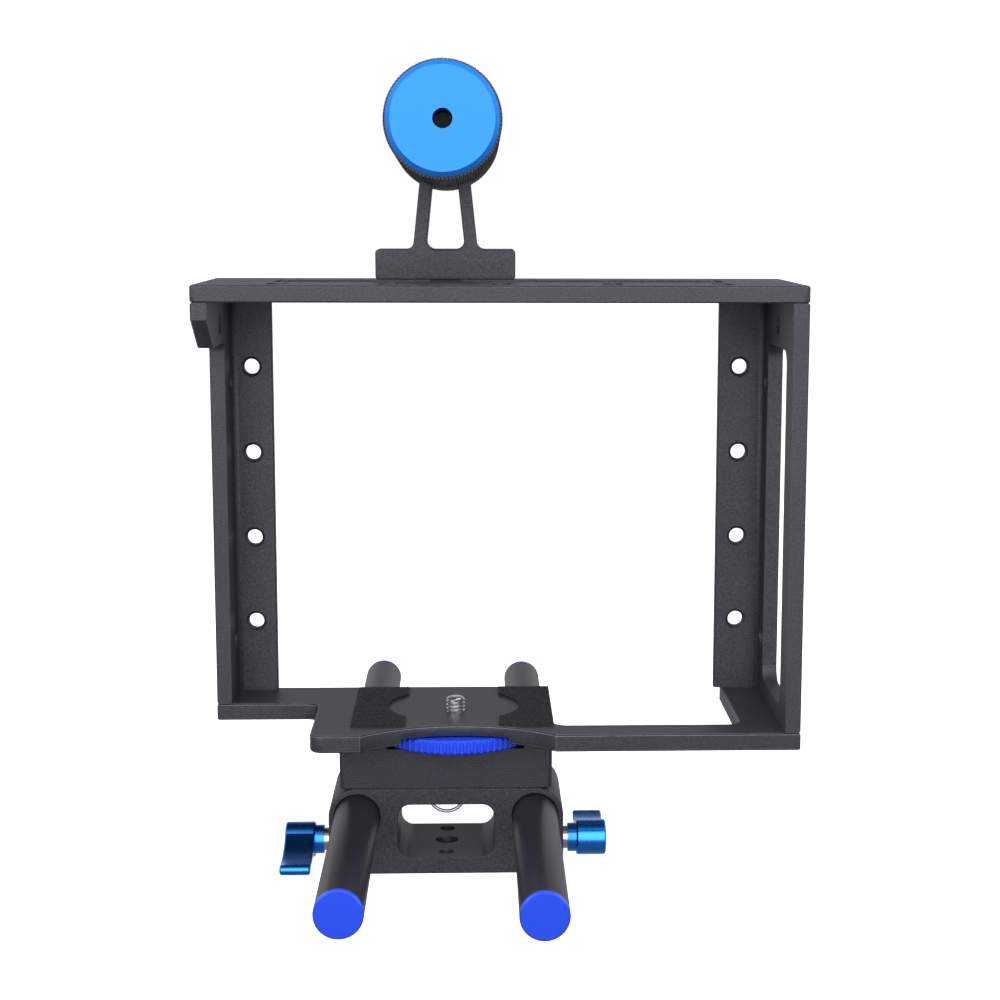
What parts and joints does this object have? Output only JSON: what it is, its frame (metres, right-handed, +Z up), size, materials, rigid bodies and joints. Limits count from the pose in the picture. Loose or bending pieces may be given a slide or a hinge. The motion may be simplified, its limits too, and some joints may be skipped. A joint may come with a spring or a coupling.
{
  "type": "camera cage rig",
  "caption": "Open camera cage with top grip, rod clamp, two rods, camera screw with thumb wheel, and clamp knobs.",
  "frame": {"origin": "where the camera screw's axis meets the top face of the base plate", "axes": "+X to the right as seen from the lens side, +Y to the rear, along the rods, +Z up, along the camera screw"},
  "size_m": [0.196, 0.3032, 0.2694],
  "materials": {
    "black_anodised": "sand-blasted black anodised aluminium",
    "blue_anodised": "satin blue anodised aluminium",
    "sky_blue_anodised": "satin sky-blue anodised aluminium",
    "knurled_black": "knurled black anodised aluminium",
    "black_rod": "smooth black anodised tube",
    "black_screw": "black oxide alloy steel",
    "steel": "turned stainless steel",
    "chrome": "polished chrome plate",
    "pad_rubber": "woven-texture black rubber"
  },
  "bodies": {
    "cage": {"top_plate": "black_anodised", "left_side_frame": "black_anodised", "right_side_frame": "black_anodised", "base_plate": "black_anodised", "top_plate_screws": "black_screw", "base_plate_screws": "black_screw", "handle_post": "black_anodised", "handle_bolts": "black_screw", "grip_screws": "black_screw", "grip_core": "black_anodised", "grip_sleeve": "knurled_black", "grip_front_cap": "sky_blue_anodised", "grip_rear_cap": "sky_blue_anodised", "pad_left": "pad_rubber", "pad_right": "pad_rubber", "riser_block": "black_anodised", "riser_screws": "black_screw", "locating_dowels": "steel", "rod_clamp_block": "black_anodised"},
    "rod_left": {"rod_left": "black_rod", "rod_left_front_cap": "blue_anodised", "rod_left_rear_cap": "blue_anodised"},
    "rod_right": {"rod_right": "black_rod", "rod_right_front_cap": "blue_anodised", "rod_right_rear_cap": "blue_anodised"},
    "knob_left": {"clamp_knob_left": "blue_anodised", "clamp_stud_left": "steel"},
    "knob_right": {"clamp_knob_right": "blue_anodised", "clamp_stud_right": "steel"},
    "wheel": {"thumb_wheel": "blue_anodised", "camera_screw": "chrome"},
    "block_screw": {"d_ring_screw": "chrome"},
    "ring": {"d_ring": "chrome"}
  },
  "joints": [
    {"name": "rod_left_slide", "type": "slide", "parent": "cage", "child": "rod_left", "axis": [0, 1, 0], "range_m": [-0.16, 0.09]},
    {"name": "rod_right_slide", "type": "slide", "parent": "cage", "child": "rod_right", "axis": [0, 1, 0], "range_m": [-0.16, 0.09]},
    {"name": "knob_left_turn", "type": "hinge", "parent": "cage", "child": "knob_left", "pos_m": [-0.0428, 0.006, -0.047], "axis": [1, 0, 0], "continuous": true},
    {"name": "knob_right_turn", "type": "hinge", "parent": "cage", "child": "knob_right", "pos_m": [0.0364, 0.006, -0.047], "axis": [1, 0, 0], "continuous": true},
    {"name": "wheel_turn", "type": "hinge", "parent": "cage", "child": "wheel", "pos_m": [0, 0, 0], "axis": [0, 0, 1], "continuous": true},
    {"name": "block_screw_turn", "type": "hinge", "parent": "cage", "child": "block_screw", "pos_m": [-0.0032, 0.006, -0.0237], "axis": [0, 0, 1], "continuous": true},
    {"name": "ring_fold", "type": "hinge", "parent": "block_screw", "child": "ring", "pos_m": [-0.0032, 0.006, -0.0311], "axis": [1, 0, 0], "range_deg": [-88, 88]}
  ]
}
